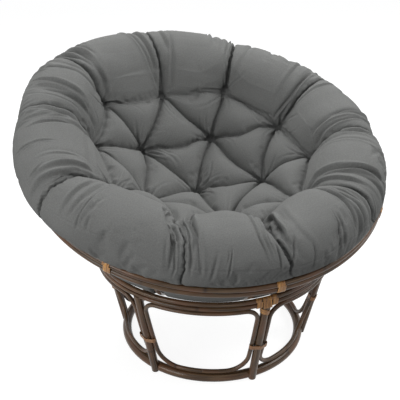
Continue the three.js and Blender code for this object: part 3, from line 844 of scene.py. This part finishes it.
INNER_TUFTS = len(INNER_TURNS)
OUTER_TUFTS = len(OUTER_TURNS)
TUFT_ANGLES = np.radians([0.0, *INNER_TURNS, *OUTER_TURNS])
TUFT_RADII = ROLL_CIRCLE * np.array([0.0, *INNER_SHARES, *OUTER_SHARES])
TUFTS = tuft_plan()
TUFT_REACH = np.hypot(*TUFTS[1 + INNER_TUFTS])  # of the outer tufts, along the cloth


def sector_of(plan):
    """For each point: the outer tuft before it, the share of the way to the next one, the distance out
    past the line between the two, and the distances to the creases over the roll before and after it."""
    angle, reach = bearing(plan)
    starts = np.radians(np.append(OUTER_TURNS, OUTER_TURNS[0] + 360)) - math.radians(OUTER_TURNS[0])
    past = (angle - math.radians(OUTER_TURNS[0])) % TURN
    k = np.clip(np.searchsorted(starts, past, side="right") - 1, 0, OUTER_TUFTS - 1)
    first = TUFTS[1 + INNER_TUFTS + k]
    step = TUFTS[1 + INNER_TUFTS + (k + 1) % OUTER_TUFTS] - first
    ray = outward(angle)[:, :2]
    t = np.clip(cross(first, ray) / cross(ray, step), 0, 1)
    out = reach - cross(first, step) / cross(ray, step)
    return k, t, out, reach * np.sin(past - starts[k]), reach * np.sin(starts[k + 1] - past)


def bearing(plan):
    """The angle and the distance of points from the middle."""
    return np.arctan2(plan[:, 0], -plan[:, 1]), np.hypot(plan[:, 0], plan[:, 1])


def from_tufts(plan):
    """The distance to the nearest tuft."""
    return np.min(np.linalg.norm(plan[:, None] - TUFTS[None], axis=2), axis=1)


def leaned(plan):
    """The plan, turned back beside the front creases, which then run aslant over the roll."""
    angle, reach = bearing(plan)
    out = reach - TUFT_REACH
    shift = np.zeros(len(plan))
    for crease, leans in LEANS.items():
        aside = (angle - math.radians(OUTER_TURNS[crease]) + math.pi) % TURN - math.pi
        shift += np.interp(out, LEAN_REACH, leans) * np.exp(-(aside / LEAN_WIDTH) ** 2)
    return plan - shift[:, None] * np.stack([np.cos(angle), np.sin(angle)], -1)


def bent(plan):
    """The plan, bent a little between the tufts so that no crease runs quite straight."""
    plan = leaned(plan)
    x, y = plan.T
    free = 1 - np.exp(-(from_tufts(plan) / 0.05) ** 2)
    aside = np.stack([waves(1.3 * y + 0.5 * x, 71, 5), waves(1.3 * x - 0.5 * y, 72, 5)], -1)
    return plan + BEND * free[:, None] * aside


def pillows(plan):
    """How far the filling lifts the cloth over its tufts, and the distance to the nearest crease."""
    plan = bent(plan)
    lift = np.zeros(len(plan))
    crease = np.full(len(plan), FAR)
    for corners in tuft_triangles():
        a, b, c = TUFTS[list(corners)]
        bary = (plan - a) @ np.linalg.inv(np.array([b - a, c - a]).T).T
        bary = np.column_stack([1 - bary.sum(1), bary])
        inside = bary.min(1) >= 0
        area = abs(cross(b - a, c - a)) / 2
        sides = np.array([np.linalg.norm(c - b), np.linalg.norm(c - a), np.linalg.norm(b - a)])
        crown = CROWN * (2 * area / sides.sum()) / CROWN_RADIUS
        w = np.clip(bary, 0, 1)
        edge = sum((4 * w[:, m] * w[:, (m + 1) % 3]) ** EDGE_POWER for m in range(3))
        full = (27 * w.prod(1)) ** CROWN_POWER
        lift = np.where(inside, VALLEY * edge + crown * full, lift)
        crease = np.where(inside, (bary * (2 * area / sides)).min(1), crease)
    k, t, out, before, after = sector_of(plan)
    hill = 4 * t * (1 - t)
    strength = np.array(CREASE_STRENGTHS)[np.where(t < 0.5, k, (k + 1) % OUTER_TUFTS)]
    depth = np.interp(out, CREASE_REACH, CREASE_DEPTH) * strength
    roll = np.interp(out, WALL_REACH, WALL_FILL) * hill ** WALL_POWER - depth * (1 - hill ** CREASE_POWER)
    on_roll = out > 0
    lift = np.where(on_roll, roll, lift)
    wall = np.minimum(np.maximum(out, 0) + 0.004, np.minimum(before, after))
    return lift, np.where(on_roll, wall, crease)


def normals_of(points, quads):
    p = points[quads]
    face = np.cross(p[:, 2] - p[:, 0], p[:, 3] - p[:, 1])
    out = np.zeros_like(points)
    for k in range(4):
        np.add.at(out, quads[:, k], face)
    return unit(out)


def sheet(profile, reach, cells):
    """A grid over the form without tufts: points in the cushion's frame, plan and share of the way out."""
    table, lengths = form_table(profile, reach)
    angle, share = disc_grid(cells)
    plan = outward(angle)[:, :2] * (share * read_table(lengths, angle, None))[:, None]
    return read_table(table, angle, share), plan, share


def top_sheet(cells):
    """The cushion's top before it swells: points in the row frame, plan and share of the way out."""
    points, plan, share = sheet(top_profile, 5, cells)
    lift = pillows(plan)[0] * np.clip((1 - share) / 0.05, 0, 1)
    lifted = points + normals_of(points, grid_quads(cells)) * lift[:, None]
    return place(CUSHION, lifted), plan, share


def under_sheet(cells):
    """The underside, drawn in where the ties of the tufts come out."""
    points, plan, _ = sheet(under_profile, 3, cells)
    towards = unit(points)
    tufts = spots_at(TUFT_ANGLES, TUFT_RADII, dish_height(TUFT_RADII))
    away = np.min(np.linalg.norm(towards[:, None] - unit(tufts)[None], axis=2), axis=1) * UNDERSIDE
    drawn = TIE_DEPTH * np.exp(-(away / TIE_REACH) ** 1.5)
    return place(CUSHION, points - towards * drawn[:, None]), plan


def swell(points, quads, held):
    """The points with the cloth filled: pressure from inside, and the cloth held at creases and tufts."""
    mesh = bpy.data.meshes.new("swelling")
    mesh.from_pydata(points.tolist(), [], quads.tolist())
    cloth_object = new_object("swelling", mesh)
    group = cloth_object.vertex_groups.new(name="held")
    levels = np.round(held * PIN_LEVELS).astype(int)
    for level in range(1, PIN_LEVELS + 1):
        group.add(np.nonzero(levels == level)[0].tolist(), level / PIN_LEVELS, "REPLACE")
    settings = cloth_object.modifiers.new("cloth", "CLOTH").settings
    for key, value in CLOTH_SETTINGS.items():
        setattr(settings, key, value)
    settings.effector_weights.gravity = 0
    scene = bpy.context.scene
    for frame_number in range(1, FRAMES + 1):
        scene.frame_set(frame_number)
    evaluated = cloth_object.evaluated_get(bpy.context.evaluated_depsgraph_get())
    moved = np.empty(len(points) * 3)
    evaluated.data.vertices.foreach_get("co", moved)
    bpy.data.objects.remove(cloth_object)
    bpy.data.meshes.remove(mesh)
    scene.frame_set(1)
    step = moved.reshape(-1, 3) - points
    length = np.linalg.norm(step, axis=1, keepdims=True)
    return points + step * np.minimum(1, MOST_SWELL / np.maximum(length, 1e-9))


def finer(values, cells):
    """Values of a grid at twice its cells, on a smooth surface through them."""
    n = cells + 1
    grid = values.reshape(n, n, -1)
    for axis in (0, 1):
        a = np.moveaxis(grid, axis, 0)
        before = np.concatenate([2 * a[:1] - a[1:2], a[:-1]])[:-1]
        after = np.concatenate([a[1:], 2 * a[-1:] - a[-2:-1]])[1:]
        middle = (9 * (a[:-1] + a[1:]) - before - after) / 16
        out = np.empty((2 * len(a) - 1, *a.shape[1:]))
        out[::2], out[1::2] = a, middle
        grid = np.moveaxis(out, 0, axis)
    return grid.reshape(-1, values.shape[1])


# Cushion: folds and wrinkles of the cloth, with the least and the most of what is drawn at random
FAN_SEED, FOLD_SEED, DIP_SEED = 100, 300, 400
FAN_FOLDS = 16  # at a tuft that FANS doesn't name
FAN_REACH = (0.035, 0.15)
FAN_BEND = (-1.2, 1.2)
FAN_DEPTH, FAN_DEEPER = 0.0015, 0.0055
FOLD_STARTS, FOLD_STOPS = (-0.01, 0.16), (0.24, 0.38)  # out from the outer tufts
FOLD_FEET = (0.005, 0.04)  # from the crease, where a fold starts
FOLD_WIDTHS = (0.0018, 0.0055)
FOLD_DEPTH, FOLD_DEEPER = 0.0015, 0.008
SEAM_OUT = 0.318  # of the seam round the roll's outer face
SEAM_DEPTH, SEAM_WIDTH = 0.0009, 0.0022
PUCKERS = 90
PUCKER_DEPTH, PUCKER_REACH = 0.0016, 0.045
DIP_TOPS, DIP_FEET = (0.20, 0.27), (0.30, 0.36)
DIP_DEPTHS, DIP_WIDTHS = (0.0015, 0.0055), (0.0022, 0.005)
SLACK_DEPTH = 0.0011
GROOVE_DEPTH = 0.010  # of the sharp line in each crease, next to a tuft
GROOVE_WIDTH, GROOVE_WIDER = 0.0024, 0.0014
DIMPLE_DEPTH, DIMPLE_REACH = 0.010, 0.012


def groove(aside, width):
    """A fold's section: a narrow dip with a low, soft ridge on both sides."""
    x = np.abs(aside / width)
    return np.exp(-x ** 1.5) - 0.35 * np.exp(-((x - 2.1) / 1.0) ** 2)


def lapped(aside, width, side):
    """The section of a fold that lies over on one side: steep there, and long on the other."""
    x = aside / width * side
    dip = np.where(x < 0, np.exp(-np.abs(x) ** 1.3), np.exp(-(x / 2.6) ** 2))
    return dip - 0.45 * np.exp(-((x + 2.6) / 1.5) ** 2)


def tuft_fans(plan):
    """Short wrinkles that run into each tuft."""
    depth = np.zeros(len(plan))
    for k, tuft in enumerate(TUFTS):
        angle, r = bearing(plan - tuft)
        near = r < FAN_REACH[1]
        turn, r = angle[near] / TURN, r[near]
        rng = np.random.RandomState(FAN_SEED + k)
        fan = np.zeros(near.sum())
        for _ in range(FANS.get(k, FAN_FOLDS)):
            at, reach = rng.rand(), rng.uniform(*FAN_REACH)
            strength = FAN_DEPTH + FAN_DEEPER * rng.rand() ** 1.4
            away = (turn - at - rng.uniform(*FAN_BEND) * r + 0.5) % 1 - 0.5
            fall = np.clip(1 - r / reach, 0, 1) ** 1.1 * np.clip(r / 0.008, 0, 1)
            fan += strength * fall * groove(away * TURN * np.maximum(r, 0.004), 0.0022 + 0.02 * r)
        depth[near] += fan
    return depth


def crease_folds(crease, out, aside):
    """Folds beside one crease over the roll, which fan out from its tuft."""
    rng = np.random.RandomState(FOLD_SEED + crease)
    folds = np.zeros(len(out))
    for _ in range(FOLDS[crease]):
        side = rng.choice([-1, 1])
        start, stop = rng.uniform(*FOLD_STARTS), rng.uniform(*FOLD_STOPS)
        fan, foot = rng.uniform(0.01, FOLD_SPREADS[crease]), rng.uniform(*FOLD_FEET)
        line = side * (foot + fan * np.maximum(out - 0.01, 0) ** 0.8)
        line = line + 0.007 * waves(out / 0.7, rng.randint(10 ** 6), 4)
        ends = eased((out - start) / 0.05) * eased((stop - out) / 0.08)
        depth = FOLD_DEPTH + FOLD_DEEPER * rng.rand() ** 1.6
        width = rng.uniform(*FOLD_WIDTHS)
        folds += depth * ends * lapped(aside - line, width, rng.choice([-1, 1]))
    return folds


def roll_folds(plan):
    k, _, out, before, after = sector_of(bent(plan))
    depth = np.zeros(len(plan))
    for crease in range(OUTER_TUFTS):
        aside = np.where(k == crease, before, np.where((k + 1) % OUTER_TUFTS == crease, -after, FAR))
        near = (out > -0.03) & (np.abs(aside) < 0.15)
        depth[near] += crease_folds(crease, out[near], aside[near])
    return depth


def seam_puckers(plan):
    """A seam low on the roll's outer face, with small puckers across it and longer dips up from it."""
    angle, reach = bearing(plan)
    turn = angle / TURN
    out = sector_of(plan)[2]
    away = out - SEAM_OUT - 0.006 * waves(turn, 51, 6)
    pucker = np.maximum(waves(turn, 52, PUCKERS, 1.3), 0) * (0.6 + 0.4 * waves(turn, 53, 7))
    seam = SEAM_DEPTH * groove(away, SEAM_WIDTH)
    depth = seam + PUCKER_DEPTH * np.exp(-(away / PUCKER_REACH) ** 2) * pucker
    rng = np.random.RandomState(DIP_SEED)
    low = out > 0.17
    o, turn, reach = out[low], turn[low], reach[low]
    dips = np.zeros(low.sum())
    for _ in range(SEAM_DIPS):
        at, lean = rng.rand(), rng.uniform(-0.25, 0.25)
        aside = ((turn - at + 0.5) % 1 - 0.5) * TURN * reach - lean * (o - 0.3)
        top, foot = rng.uniform(*DIP_TOPS), rng.uniform(*DIP_FEET)
        ends = eased((o - top) / 0.035) * eased((foot - o) / 0.03)
        dips += rng.uniform(*DIP_DEPTHS) * ends * groove(aside, rng.uniform(*DIP_WIDTHS))
    depth[low] += dips
    return depth


def slack(plan):
    """Slow, uneven waves in the cloth, longer across than along."""
    angle, reach = bearing(plan)
    swing = waves(angle / TURN + 0.05 * waves(reach / 0.9, 61, 4), 62, 24, 1.7)
    height = 0.6 + 0.5 * waves(reach / 0.9, 63, 5)
    return SLACK_DEPTH * swing * height * np.clip(reach / 0.3, 0, 1)


def cloth_detail(plan, share):
    """How deep the cloth dips at each point of the top."""
    crease = pillows(plan)[1]
    near_tuft = from_tufts(plan)
    near = np.exp(-(near_tuft / 0.06) ** 2)
    on_roll = eased(sector_of(plan)[2] / 0.03)
    strength = 0.25 + 0.75 * np.maximum(near, 0.8 * on_roll)
    sharp = GROOVE_DEPTH * strength * np.exp(-(crease / (GROOVE_WIDTH + GROOVE_WIDER * near)) ** 1.3)
    dimple = DIMPLE_DEPTH * np.exp(-(near_tuft / DIMPLE_REACH) ** 2)
    depth = sharp + dimple + tuft_fans(plan) + roll_folds(plan) + seam_puckers(plan) + slack(plan)
    return depth * eased((1 - share) / 0.06)


def closed_mesh(top, under, top_plan, under_plan, cells):
    """Points, faces and plan of the top and of an underside with half its cells, joined at their edge."""
    n, half = cells + 1, cells // 2
    i, j = (v.ravel() for v in np.meshgrid(np.arange(half + 1), np.arange(half + 1), indexing="ij"))
    inner = (i % half != 0) & (j % half != 0)
    below = 2 * i * n + 2 * j
    below[inner] = n * n + np.arange(inner.sum())
    points = np.concatenate([top, under[inner]])
    flat = np.concatenate([top_plan, under_plan[inner]])
    plan = np.column_stack([flat, np.where(np.arange(len(points)) < n * n, 0, -1)])
    faces = grid_quads(cells).tolist()
    for quad in below[grid_quads(half)][:, ::-1].tolist():
        face = []
        for a, b in zip(quad, quad[1:] + quad[:1]):
            face += [a, (a + b) // 2] if max(a, b) < n * n else [a]
        faces.append(face)
    return points, faces, plan


TIE_RADIUS = 0.0011
TIE_THREADS = (  # turn, lift over the cloth, half length, bow, and 1 where it runs outward from the knot
    (0.2, 0.0010, 0.010, 0.004, 0), (1.7, 0.0026, 0.010, 0.004, 0),
    (3.6, 0.0040, 0.007, 0.003, 1), (5.4, 0.0044, 0.007, 0.003, 1))


def tuft_ties(spots, normals):
    """A cross of thread in each tuft, with the two cut ends of its knot."""
    s = np.linspace(-1, 1, 13)[:, None]
    radii = TIE_RADIUS * np.sqrt(1 - np.linspace(-0.97, 0.97, len(s)) ** 8)
    threads = []
    for k, (spot, normal) in enumerate(zip(spots, normals)):
        across = unit(np.cross(normal, [math.cos(2.1 * k), math.sin(2.1 * k), 0.3]))
        for turn, lift, half, bow, past in TIE_THREADS:
            way = math.cos(turn) * across + math.sin(turn) * np.cross(normal, across)
            path = spot + half * (s + past) * way + normal * (lift + bow * (s + past) ** 2)
            threads.append(tube(path, normal, radii, 8))
    points, faces = merged(threads)
    piece = mesh_object("tuft_ties", points, faces, CLOTH, plan=points)
    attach(piece, "cushion")


def cushion():
    top, plan, share = top_sheet(CELLS)
    cells = CELLS
    at_crease = 0.5 * np.exp(-(pillows(plan)[1] / 0.006) ** 2)
    held = np.maximum(at_crease, np.exp(-(from_tufts(plan) / 0.014) ** 2))
    swelling = swell(top, grid_quads(CELLS), np.where(share > 0.97, 1, held)) - top
    for _ in range(DOUBLINGS):
        swelling = finer(swelling, cells)
        cells *= 2
    top, plan, share = top_sheet(cells)
    top = top + swelling
    top = top - normals_of(top, grid_quads(cells)) * cloth_detail(plan, share)[:, None]
    under, under_plan = under_sheet(cells // 2)
    tufts = [int(np.argmin(np.linalg.norm(plan - tuft, axis=1))) for tuft in TUFTS]
    tuft_ties(top[tufts], normals_of(top, grid_quads(cells))[tufts])
    points, faces, plans = closed_mesh(top, under, plan, under_plan, cells)
    piece = mesh_object("cushion_cloth", points, faces, CLOTH, plan=plans)
    finished(piece, "cushion", "cushion")


base()
bowl()
cushion()


# Stage: floor, background, lights and camera
FLOOR_HALF = 9
FLOOR_COLOUR = (0.28, 0.28, 0.28, 1)
FLOOR_GLOW = 0.89
SOFT_COLOUR = (0.97, 0.985, 1.0, 1)
SOFT_STRENGTH = 0.36
LAMPS = (  # name, place, size and power
    ("left", (-2.4, -1.4, 1.05), 1.4, 32), ("right", (2.3, -0.6, 2.2), 1.4, 38),
    ("back", (0.1, 1.9, 2.9), 1.5, 66), ("top", (-0.3, -0.9, 3.0), 1.4, 12))
LAMP_AIM = (0, 0, 0.5)
CAMERA_AT = (-0.5006, -1.8494, 1.348)
CAMERA_FORWARD = (0.2319, 0.8715, -0.4321)
CAMERA_LENS = 63.0


def looked_at(tree):
    """One for the rays of the camera, of gloss and through glass, and zero for those that give light."""
    path = add(tree, "LightPath")
    either = maths(tree, "MAXIMUM", path.outputs["Is Camera Ray"], path.outputs["Is Glossy Ray"])
    return maths(tree, "MAXIMUM", either, path.outputs["Is Transmission Ray"])


def surface(tree, end, plain, looked):
    """One shader for the light that a thing gives, and another where it is looked at."""
    choice = add(tree, "MixShader")
    for output, socket in zip((looked_at(tree), plain.outputs[0], looked.outputs[0]), choice.inputs):
        link(output, socket)
    link(choice.outputs[0], tree.nodes[end].inputs["Surface"])


def stage():
    """A pale floor that glows a little where it is looked at, and gives and takes light as a grey one."""
    h = FLOOR_HALF
    floor_mesh = bpy.data.meshes.new("floor")
    floor_mesh.from_pydata([(-h, -h, 0), (h, -h, 0), (h, h, 0), (-h, h, 0)], [], [(0, 1, 2, 3)])
    material, tree, shader = new_material("floor")
    put(shader, Base_Color=FLOOR_COLOUR, Roughness=1.0, Specular_IOR_Level=0.0)
    glow = put(add(tree, "Emission"), Color=(1, 1, 1, 1), Strength=FLOOR_GLOW)
    total = add(tree, "AddShader")
    for part, socket in zip((shader, glow), total.inputs):
        link(part.outputs[0], socket)
    surface(tree, "Material Output", shader, total)
    floor_mesh.materials.append(material)
    new_object("floor", floor_mesh)


def background():
    """White where it is looked at, and an even soft light otherwise."""
    world = bpy.data.worlds.new("studio")
    bpy.context.scene.world = world
    world.use_nodes = True
    tree = world.node_tree
    soft = tree.nodes["Background"]
    put(soft, Color=SOFT_COLOUR, Strength=SOFT_STRENGTH)
    white = put(add(tree, "Background"), Color=(1, 1, 1, 1), Strength=1.0)
    surface(tree, "World Output", soft, white)


def facing(thing, at, forward):
    thing.location = at
    thing.rotation_euler = forward.to_track_quat("-Z", "Y").to_euler()


def soft_light(name, at, size, power):
    lamp = bpy.data.lights.new(name, "AREA")
    lamp.shape, lamp.size, lamp.energy = "SQUARE", size, power
    facing(new_object(name, lamp), at, Vector(LAMP_AIM) - Vector(at))


def camera():
    data = bpy.data.cameras.new("camera")
    data.lens, data.sensor_width = CAMERA_LENS, 36.0
    data.clip_start, data.clip_end = 0.05, 60
    view = new_object("camera", data)
    facing(view, CAMERA_AT, Vector(CAMERA_FORWARD))
    bpy.context.scene.camera = view


camera()
stage()
background()
for lamp in LAMPS:
    soft_light(*lamp)
bpy.context.scene.view_settings.view_transform = "Standard"
